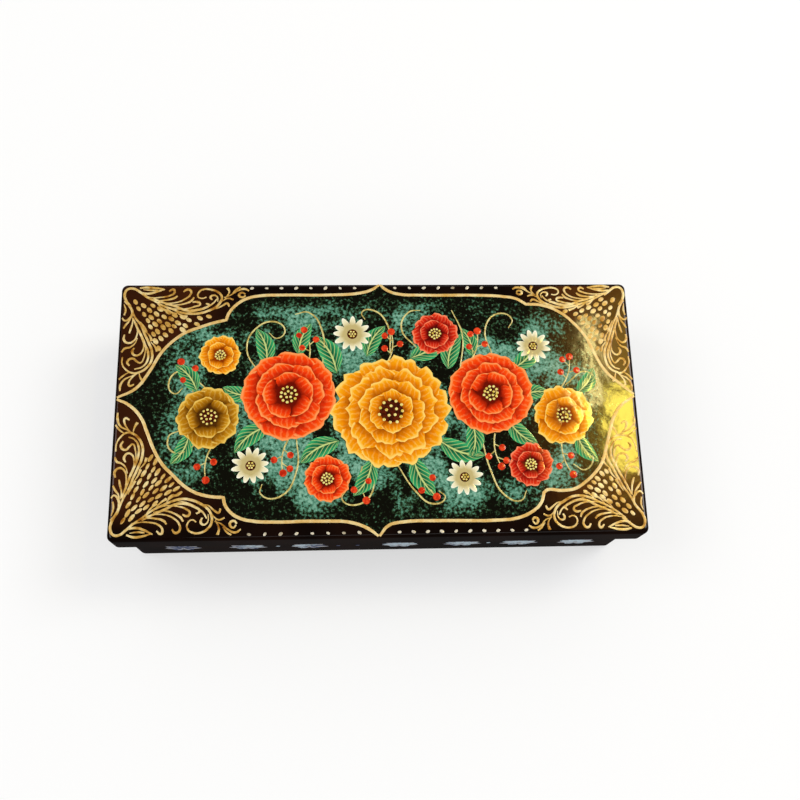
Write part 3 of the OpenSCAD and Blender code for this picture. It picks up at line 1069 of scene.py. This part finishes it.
def add_petal(bm, foot, heading, length, width, height, ruffle, phase):
    """One petal: narrow at the foot, with a round and slightly ruffled lip, cupped across."""
    def outline(u, t):
        side = 2 * u - 1
        q = max(0.0, (t - PETAL_NECK) / (1 - PETAL_NECK))
        spread = 0.34 + 0.66 * math.sin(math.pi / 2 * min(1.0, t / PETAL_NECK))
        wave = 1 + ruffle * q * (math.sin(side * 6 + phase) + 0.5 * math.sin(side * 11 + 2 * phase))
        x = width / 2 * side * spread * math.sqrt(1 - q * q / 2) * wave
        lip = PETAL_NECK + (1 - PETAL_NECK) * q * math.sqrt(1 - side * side / 2) * wave
        return turned(x, length * (lip if q else t), heading, foot)

    def relief(u, t):
        side = 2 * u - 1
        return height + 0.04 * (1 - side * side) * math.sin(math.pi * t) + 0.012 * side

    painted_shape(bm, outline, relief, (8, 7))


def add_leaf(bm, foot, heading, length, width, bend, height):
    """One leaf: pointed at both ends, bent to a side, with a crease along its rib."""
    def outline(u, t):
        side = 2 * u - 1
        x = width / 2 * side * (math.sin(math.pi * t ** 0.85) ** 0.8 if 0 < t < 1 else 0) + 0.06 * side
        x += bend * length * math.sin(math.pi * t) * 0.5
        return turned(x, length * t, heading, foot)

    def relief(u, t):
        side = abs(2 * u - 1)
        return height + 0.04 * side * (1 - side) * 4 * math.sin(math.pi * t)

    painted_shape(bm, outline, relief, (7, 9))


def add_dome(bm, middle, radius, height, rise, segments=12):
    """A round dab of paint with its foot just under z = 0: a wall up to the height, then a low dome."""
    made = bmesh.ops.create_uvsphere(bm, u_segments=segments, v_segments=6, radius=1)["verts"]
    for v in made:
        z = height + rise * v.co.z if v.co.z > -0.1 else -FOOT_SINK
        v.co = ((middle[0] + radius * v.co.x) * MM, (middle[1] + radius * v.co.y) * MM, z * MM)


def uv_bmesh():
    """An empty bmesh whose shapes get their own flat coordinates."""
    bm = bmesh.new()
    bm.loops.layers.uv.new("UVMap")
    return bm


def leaves_bmesh():
    """The leaves of the picture, in turn at four heights."""
    bm = uv_bmesh()
    for index, (foot, heading, length, width, bend) in enumerate(LEAVES):
        height = LEAF_RISE + LEAF_STEP * (index % 4)
        add_leaf(bm, foot, math.radians(heading), length, width, bend, height)
    bmesh.ops.recalc_face_normals(bm, faces=bm.faces)
    return bm


def flower_bmesh(kind, middle, radius, turn, hand):
    """The petals of one flower, ring on ring, each ring higher than the last."""
    bm = uv_bmesh()
    for level, (count, foot, tip, share, ruffle) in enumerate(RINGS[kind]):
        room = 2 * math.pi * radius * (foot + 0.72 * (tip - foot)) / count
        for i in range(count):
            place = (i + 0.5 * level) / count * 2 * math.pi
            heading = math.radians(turn) + place + hand.uniform(-PETAL_TURN, PETAL_TURN)
            length = radius * (tip - foot) * hand.uniform(*PETAL_LENGTHS)
            height = PETAL_RISE + RING_RISE * level + 0.004 * (i % 2)
            add_petal(bm, around(middle, radius * foot, heading), heading, length, room * share,
                      height, ruffle, hand.uniform(0, 6))
    bmesh.ops.recalc_face_normals(bm, faces=bm.faces)
    return bm


def add_stamens(bm, kind, middle, radius, top, hand):
    """The stamens round one flower's heart and upon it."""
    heart = radius * HEARTS[kind]
    count, share, upon, inner_share = STAMENS[kind]
    for i in range(count):
        reach = heart * share * hand.uniform(0.9, 1.1)
        spot = around(middle, reach, 2 * math.pi * i / count)
        add_dome(bm, spot, 0.2 + 0.014 * radius, top + 0.04, STAMEN_DOME, 8)
    for i in range(upon):
        spot = around(middle, heart * inner_share, 2 * math.pi * i / upon + 0.4)
        add_dome(bm, spot, 0.2 + 0.012 * radius, top + 0.06, STAMEN_DOME, 8)


def sprig_point(foot, heading, share, side=0.0):
    """A point of a sprig's bowed stem, a share of the way up it, or that far to its right."""
    off = side + SPRIG_BOW * 4 * share * (1 - share)
    return turned(off, SPRIG_LENGTH * share, math.radians(heading), foot)


def sprig(foot, heading, count):
    """The strokes and the berries of one sprig: a berry at its end, the others to left and right."""
    stem = [sprig_point(foot, heading, i / 4) for i in range(5)]
    strokes = [(stem, SPRIG_WIDTHS, ())]
    berries = [(stem[-1], END_BERRY)]
    for i in range(count - 1):
        share = 0.45 + 0.2 * i
        fruit = sprig_point(foot, heading, share, BERRY_REACH if i % 2 else -BERRY_REACH)
        strokes.append(([sprig_point(foot, heading, share - 0.14), fruit], STALK_WIDTHS, ()))
        berries.append((fruit, SIDE_BERRY))
    return strokes, berries


def egg_tempera(name):
    """The material of one of the plain paints."""
    return dab_material(name + " egg tempera", *map(linear, DABS[name]))


class OBJECT_OT_box_ground(bpy.types.Operator):
    """Sponges the picture's blue-green ground inside the gold line"""
    bl_idname = "lacquer_box.ground"
    bl_label = "Picture ground"

    def execute(self, context):
        cfg = settings("picture")
        curve = bpy.data.curves.new("ground", "CURVE")
        curve.dimensions = "2D"
        curve.fill_mode = "BOTH"
        curve.extrude = cfg.rise * MM
        curve.resolution_u = 5
        knots = []
        for index, (points, kink) in enumerate(LINE_QUARTERS):
            marked = [(p, i in (0, kink, len(points) - 1)) for i, p in enumerate(points)]
            # Only the last quarter is drawn the other way round
            knots += marked[::-1] if index == 3 else marked
        sharp = [i for i, (point, kinked) in enumerate(knots) if kinked]
        add_spline(curve, [point for point, kinked in knots], [1.0] * len(knots), sharp, closed=True)
        bm = curve_bmesh(curve)
        bmesh.ops.remove_doubles(bm, verts=bm.verts, dist=WELD)
        bmesh.ops.recalc_face_normals(bm, faces=bm.faces)
        keep_on_lid(bm, "picture_ground", ground_material("sponged egg tempera", cfg), "tempera_paint")
        return {"FINISHED"}


class OBJECT_OT_box_flowers(bpy.types.Operator):
    """Paints the flowers, leaves, stems and berries of the picture"""
    bl_idname = "lacquer_box.flowers"
    bl_label = "Flowers"

    def execute(self, context):
        green = leaf_material("green egg tempera", *map(linear, LEAF_GREENS))
        keep_on_lid(leaves_bmesh(), "leaves", green, "tempera_paint")
        self.paint_stems()
        self.paint_flowers(random.Random(11))
        return {"FINISHED"}

    def paint_stems(self):
        """The tendrils and the sprigs, and the sprigs' berries."""
        strokes = [(points, stroke_widths("stem", len(points), TENDRIL_WIDTH), ()) for points in TENDRILS]
        berries = bmesh.new()
        for foot, heading, count in SPRIGS:
            drawn, fruits = sprig(foot, heading, count)
            strokes += drawn
            for spot, radius in fruits:
                add_dome(berries, spot, radius, BERRY_RISE, BERRY_DOME)
        keep_on_lid(strokes_bmesh(strokes, STEM_RISE), "stems", egg_tempera("straw"), "tempera_paint")
        keep_on_lid(berries, "berries", egg_tempera("red"), "tempera_paint")

    def paint_flowers(self, hand):
        """Each flower's petals as a piece of its own, then all the hearts and all the stamens."""
        paints = {name: petal_material(name + " egg tempera", *map(linear, tones))
                  for name, tones in PALETTE.items()}
        hearts, stamens = bmesh.new(), bmesh.new()
        for number, (kind, colour, middle, radius, turn) in enumerate(FLOWERS, 1):
            petals = flower_bmesh(kind, middle, radius, turn, hand)
            keep_on_lid(petals, f"{kind}_{number}", paints[colour], "tempera_paint")
            top = HEART_RISE + RING_RISE * len(RINGS[kind])
            add_dome(hearts, middle, radius * HEARTS[kind], top, HEART_DOME, 20)
            add_stamens(stamens, kind, middle, radius, top, hand)
        keep_on_lid(hearts, "flower_hearts", egg_tempera("dark brown"), "tempera_paint")
        keep_on_lid(stamens, "stamens", egg_tempera("pale yellow"), "tempera_paint")


# The sprays round the walls, in millimetres along each wall from its left end, as seen from outside

FRONT_SPRAYS = (12.7, 29.2, 45.0, 68.4, 84.6, 99.6, 114.6)
FRONT_DOTS = (37.0, 52.5, 57.5, 91.5)

# A spray's leaves to the right of its middle and upright on it, over and under: foot, heading in
# degrees, length, width and bend
SPRAY_LEAVES = [((0.5, 0.0), 14, 4.9, 2.6, -0.16), ((0.3, 0.4), 52, 3.6, 1.5, -0.2),
                ((0.0, 0.5), 90, 3.4, 1.3, 0.0), ((0.5, -0.4), -26, 3.4, 1.2, 0.25)]
UNDER_LEAVES = [((0.3, 0.2), 33, 5.2, 2.4, 0.0), ((0.0, 0.2), 72, 4.6, 2.0, 0.1),
                ((0.3, 0.0), -6, 5.6, 2.0, 0.1), ((0.0, 0.0), -60, 3.6, 1.8, 0.0)]

# The curl under it on the right
SPRAY_CURL = [(0.0, -0.4), (0.3, -2.2), (1.6, -3.3), (2.8, -2.7), (2.4, -1.9)]
CURL_WIDTH = 0.5

# How far a leaf turns off its heading, in degrees, and the sizes of the leaves
SPRAY_TURN = 5
SPRAY_SIZES = (0.92, 1.08)

# A spray's three layers of paint: how high each stands over the lacquer
SPRAY_RISE = 0.03
UNDER_RISE = 0.008
CURL_RISE = 0.035

# A dot between two sprays: radius, height of its wall and of its dome, and how far it strays
SPRAY_DOT = (0.55, 0.02, 0.03)
DOT_STRAY = 0.6


def wall_places():
    """Each wall's name and length, and the matrix from its own plane to its place on the box."""
    width = (wall_high.x - wall_low.x) / MM
    depth = (wall_high.y - wall_low.y) / MM
    middle_y = (wall_high.y + wall_low.y) / 2
    upright = Matrix.Rotation(math.pi / 2, 4, "X")
    walls = [("front", width, 0, (0, wall_low.y)), ("right", depth, 90, (wall_high.x, middle_y)),
             ("back", width, 180, (0, wall_high.y)), ("left", depth, 270, (wall_low.x, middle_y))]
    for name, length, turn, (x, y) in walls:
        place = Matrix.Translation((x, y, 0)) @ Matrix.Rotation(math.radians(turn), 4, "Z") @ upright
        yield name, length, place


def spray_spots(name, length, pitch):
    """Where a wall's sprays and its dots stand, along it."""
    if name == "front":
        return FRONT_SPRAYS, FRONT_DOTS
    count = int(length // pitch)
    start = (length - (count - 1) * pitch) / 2
    spots = [start + i * pitch for i in range(count)]
    return spots, [spot + pitch / 2 for spot in spots[:-1]]


def beside(middle, point, size):
    """A point of the drawn spray, at that size about its middle."""
    return (middle[0] + point[0] * size, middle[1] + point[1] * size)


def both_sides(leaves):
    """A spray's leaves, each followed by its mirror image unless it stands upright."""
    for (x, y), heading, length, width, bend in leaves:
        yield (x, y), heading, length, width, bend
        if heading != 90:
            yield (-x, y), 180 - heading, length, width, -bend


def add_sheaf(bm, middle, leaves, height, size, hand):
    """One spray's leaves, each a little off in heading and size."""
    for foot, heading, length, width, bend in both_sides(leaves):
        angle = math.radians(heading + hand.uniform(-SPRAY_TURN, SPRAY_TURN))
        own = size * hand.uniform(*SPRAY_SIZES)
        add_leaf(bm, beside(middle, foot, size), angle, length * own, width * own, bend, height)


def add_bmesh(bm, other):
    """Adds one bmesh to another. The added one goes."""
    mesh = bpy.data.meshes.new("added")
    other.to_mesh(mesh)
    other.free()
    bm.from_mesh(mesh)
    bpy.data.meshes.remove(mesh)


class OBJECT_OT_box_sprays(bpy.types.Operator):
    """Paints the sprays round the four walls, in a silver blue that is partly a painted reflection of the
    sky
    """
    bl_idname = "lacquer_box.sprays"
    bl_label = "Wall sprays"

    def execute(self, context):
        cfg = settings("band")
        # The pale leaves' silver blue and the deep blue under them are partly a painted reflection of the
        # sky
        silver_sheen = silver_sheen_material("powdered aluminium in gum, with painted sky sheen", cfg.silver_sheen, cfg.silver_sheen_thin)
        blue = dab_material("thin blue egg tempera, painted sky sheen", cfg.glow, cfg.blue_sheen_thin)
        hand = random.Random(7)
        for name, length, place in wall_places():
            leaves, under, strokes = uv_bmesh(), uv_bmesh(), []
            spots, dots = spray_spots(name, length, cfg.pitch)
            for spot in spots:
                middle = (spot - length / 2, cfg.height)
                add_sheaf(leaves, middle, SPRAY_LEAVES, SPRAY_RISE, cfg.size, hand)
                add_sheaf(under, middle, UNDER_LEAVES, UNDER_RISE, cfg.size, hand)
                for side in (1, -1):
                    curl = [beside(middle, (side * x, y), cfg.size) for x, y in SPRAY_CURL]
                    strokes.append((curl, stroke_widths("stem", len(curl), CURL_WIDTH), ()))
            for spot in dots:
                middle = (spot - length / 2, cfg.height + hand.uniform(-DOT_STRAY, DOT_STRAY))
                add_dome(leaves, middle, *SPRAY_DOT, 10)
            add_bmesh(leaves, strokes_bmesh(strokes, CURL_RISE))
            for bm, what, paint, slot in ((leaves, "sprays", silver_sheen, "silver_paint"),
                                          (under, "blue_sheen_under", blue, "tempera_paint")):
                bmesh.ops.recalc_face_normals(bm, faces=bm.faces)
                bmesh.ops.transform(bm, matrix=place, verts=bm.verts)
                keep(bm, f"{what}_{name}", [paint], "body", slot)
        return {"FINISHED"}


# The stage, in metres

FLOOR_RADIUS = 4.0
SENSOR_WIDTH = 36
CLIP = (0.01, 20)

# The soft boxes turned to the lid: place, width, and power beside the key's
SOFT_BOXES = [
    ("key", (0.85, 0.35, 1.15), 0.55, 1.0),
    ("fill", (-0.85, 0.1, 1.15), 0.6, 0.5),
    ("front", (0.1, -0.8, 0.9), 0.6, 0.2),
]

# The small warm lamps that the lid's right end mirrors, facing straight down: place, size, power
# beside the glow setting, and colour
WARM_LAMPS = [
    ("glow", (0.3245, 0.2508, 0.93), (0.036, 0.099), 1.01, (1.0, 0.8, 0.11)),
    ("streak", (0.293, 0.335, 0.93), (0.014, 0.108), 0.4, (1.0, 0.85, 0.32)),
]

# The warm haze round those lamps: the way to its middle, how fast it falls off, and its colours out
HAZE_WAY = (0.285, 0.297, 0.9)
HAZE_SHARPNESS = (1 / 0.12, 1 / 0.17, 0)
HAZE_STOPS = [
    (0.0, (1.0, 0.64, 0.085)),
    (0.35, (0.75, 0.44, 0.05)),
    (0.65, (0.25, 0.1, 0.01)),
    (1.0, (0.0, 0.0, 0.0)),
]

# What gloss and the camera see of the room, from white low down to near black overhead
DOME = (0.1, 0.75, 1.0, 0.03)

# The even grey that lights the box
DAYLIGHT = (0.64, 0.64, 0.64, 1)


def seen_rays(add):
    """1 for what the camera sees, straight on or by way of gloss or glass, and 0 for light."""
    path = add("LightPath").outputs
    seen = add("Math", (path["Is Camera Ray"], path["Is Glossy Ray"]), operation="MAXIMUM")
    return add("Math", (seen, path["Is Transmission Ray"]), operation="MAXIMUM")


def set_camera(cfg):
    """Puts the camera where the settings say, looking at the aimed point."""
    cos_e, sin_e = math.cos(cfg.elevation), math.sin(cfg.elevation)
    back = Vector((math.sin(cfg.turn) * cos_e, -math.cos(cfg.turn) * cos_e, sin_e))
    aim = Vector((cfg.aim_x * MM, cfg.aim_y * MM, TOP_Z))
    level = back.to_track_quat("Z", "Y").to_matrix().to_4x4()
    data = bpy.data.cameras.new("camera")
    data.lens = cfg.lens
    data.sensor_width = SENSOR_WIDTH
    data.clip_start, data.clip_end = CLIP
    camera = bpy.data.objects.new("camera", data)
    camera.matrix_world = (Matrix.Translation(aim + back * cfg.reach * MM) @ level
                           @ Matrix.Rotation(cfg.roll, 4, "Z"))
    bpy.context.scene.collection.objects.link(camera)
    bpy.context.scene.camera = camera


def set_floor(cfg):
    """Lays out the floor: matt white card, which the camera sees partly as plain white."""
    bm = bmesh.new()
    bmesh.ops.create_circle(bm, cap_ends=True, radius=FLOOR_RADIUS, segments=96)
    mesh = bpy.data.meshes.new("floor")
    bm.to_mesh(mesh)
    bm.free()
    material, shader, add = new_material("matt white card")
    fill(shader, {"Base Color": (*cfg.floor, 1), "Roughness": 0.9, "Specular IOR Level": 0.1})
    share = add("Math", (seen_rays(add), cfg.white), operation="MULTIPLY")
    white = add("Emission", {"Color": (1, 1, 1, 1), "Strength": 1.0})
    both = add("MixShader", (share, shader, white))
    fill(material.node_tree.nodes["Material Output"], {"Surface": both})
    mesh.materials.append(material)
    floor = bpy.data.objects.new("floor", mesh)
    bpy.context.scene.collection.objects.link(floor)


def add_lamp(name, place, size, power, colour):
    """One rectangular lamp that shines down its own z axis."""
    data = bpy.data.lights.new(name, "AREA")
    data.shape = "RECTANGLE"
    data.size, data.size_y = size
    data.energy = power
    data.color = colour
    lamp = bpy.data.objects.new(name, data)
    lamp.matrix_world = place
    bpy.context.scene.collection.objects.link(lamp)


def set_lamps(cfg):
    """Hangs the soft boxes and the warm lamps."""
    for name, spot, size, share in SOFT_BOXES:
        towards = Vector(spot) - Vector((0, 0, TOP_Z))
        turn = towards.to_track_quat("Z", "Y").to_matrix().to_4x4()
        add_lamp(name, Matrix.Translation(spot) @ turn, (size, size), cfg.key * share, (1, 1, 1))
    for name, spot, size, share, colour in WARM_LAMPS:
        add_lamp(name, Matrix.Translation(spot), size, cfg.glow * share, colour)


def set_world(cfg):
    """An even grey light, while gloss and the camera see a dome with a warm haze in it."""
    world = bpy.data.worlds.new("studio")
    bpy.context.scene.world = world
    world.use_nodes = True
    world.node_tree.nodes.clear()
    add = functools.partial(add_node, world.node_tree)
    way = add("TexCoord").outputs["Generated"]
    height = add("SeparateXYZ", (way,)).outputs["Z"]
    dome = add("MapRange", (height, *DOME))
    off = add("VectorMath", (way, HAZE_WAY), operation="SUBTRACT")
    off = add("VectorMath", (off, HAZE_SHARPNESS), operation="MULTIPLY")
    haze = add("ValToRGB", (add("VectorMath", (off,), operation="LENGTH"),), stops=HAZE_STOPS)
    haze = add("VectorMath", {0: haze, "Scale": cfg.veil}, operation="SCALE")
    sky = add("VectorMath", (haze, dome), operation="ADD")
    colour = add("Mix", {0: seen_rays(add), 6: DAYLIGHT, 7: sky}, data_type="RGBA")
    light = add("Background", {"Color": colour, "Strength": 1.0})
    add("OutputWorld", {"Surface": light})


class OBJECT_OT_box_stage(bpy.types.Operator):
    """Sets the camera, the floor, the lamps and the world"""
    bl_idname = "lacquer_box.stage"
    bl_label = "Stage"

    def execute(self, context):
        cfg = settings("stage")
        set_camera(cfg)
        set_floor(cfg)
        set_lamps(cfg)
        set_world(cfg)
        return {"FINISHED"}


STEPS = [
    OBJECT_OT_box_stage,
    OBJECT_OT_box_shells,
    OBJECT_OT_box_hinge,
    OBJECT_OT_box_ground,
    OBJECT_OT_box_line,
    OBJECT_OT_box_scrolls,
    OBJECT_OT_box_flowers,
    OBJECT_OT_box_sprays,
]


class VIEW3D_PT_lacquer_box(bpy.types.Panel):
    """Lists the steps that build the box's finish, in order"""
    bl_idname = "VIEW3D_PT_lacquer_box"
    bl_label = "Lacquer Box"
    bl_space_type = "VIEW_3D"
    bl_region_type = "UI"
    bl_category = "Lacquer Box"

    def draw(self, context):
        for name, group in SETTINGS.items():
            box = self.layout.box()
            box.label(text=name.capitalize())
            for prop in group.__annotations__:
                box.prop(getattr(context.scene, "box_" + name), prop)
        for step in STEPS:
            self.layout.operator(step.bl_idname)


def register():
    for name, group in SETTINGS.items():
        bpy.utils.register_class(group)
        setattr(bpy.types.Scene, "box_" + name, PointerProperty(type=group))
    for step in STEPS:
        bpy.utils.register_class(step)
    bpy.utils.register_class(VIEW3D_PT_lacquer_box)


def unregister():
    bpy.utils.unregister_class(VIEW3D_PT_lacquer_box)
    for step in reversed(STEPS):
        bpy.utils.unregister_class(step)
    for name, group in reversed(SETTINGS.items()):
        delattr(bpy.types.Scene, "box_" + name)
        bpy.utils.unregister_class(group)


def main():
    register()
    bpy.context.scene.view_settings.view_transform = "Standard"
    for step in STEPS:
        group, name = step.bl_idname.split(".")
        getattr(getattr(bpy.ops, group), name)()


if __name__ == "__main__":
    main()
